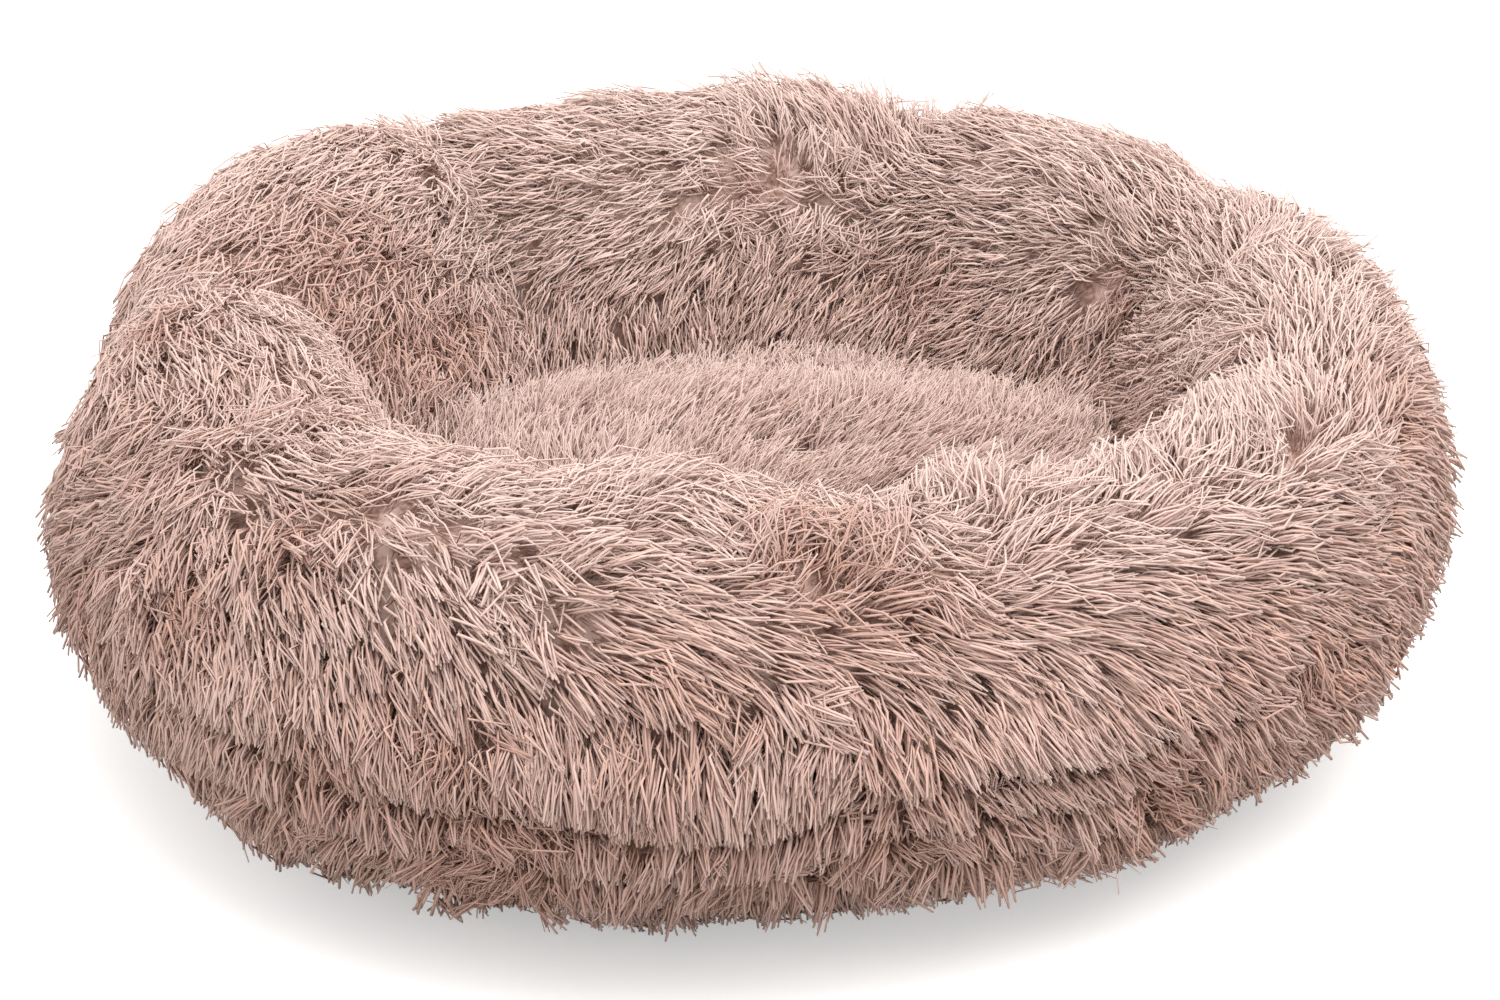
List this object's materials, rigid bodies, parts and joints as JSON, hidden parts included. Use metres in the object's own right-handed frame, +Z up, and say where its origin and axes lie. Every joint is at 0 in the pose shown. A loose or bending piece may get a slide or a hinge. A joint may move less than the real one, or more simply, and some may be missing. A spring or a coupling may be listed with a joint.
{
  "type": "dog bed",
  "caption": "Round plush pet bed: a stuffed ring of long-haired fur, sewn from panels, round a domed fur cushion on a non-slip base cloth.",
  "frame": {"origin": "middle of the underside of the base, on the floor", "axes": "+Z up, -Y to the front as pictured, +X to the right as pictured"},
  "size_m": [0.6059, 0.6001, 0.2074],
  "materials": {
    "long_pile_fur": "long shaggy polyester pile in dusty pink taupe, brushed in locks, darker at the roots",
    "fibre_fill": "white hollow polyester fibre, blown in",
    "lining_cloth": "off-white non-woven lining cloth",
    "coated_base_cloth": "dark woven polyester base cloth, coated, with small moulded grip dots"
  },
  "bodies": {
    "root": {"bolster_panel_front_left": "long_pile_fur", "bolster_panel_front_right": "long_pile_fur", "bolster_panel_right": "long_pile_fur", "bolster_panel_back_right": "long_pile_fur", "bolster_panel_back": "long_pile_fur", "bolster_panel_back_left": "long_pile_fur", "bolster_panel_left": "long_pile_fur", "bolster_fill": "fibre_fill", "nest_divider": "lining_cloth", "cushion_top_cover": "long_pile_fur", "cushion_underside": "lining_cloth", "cushion_fill": "fibre_fill", "base_panel": "coated_base_cloth"}
  },
  "joints": []
}
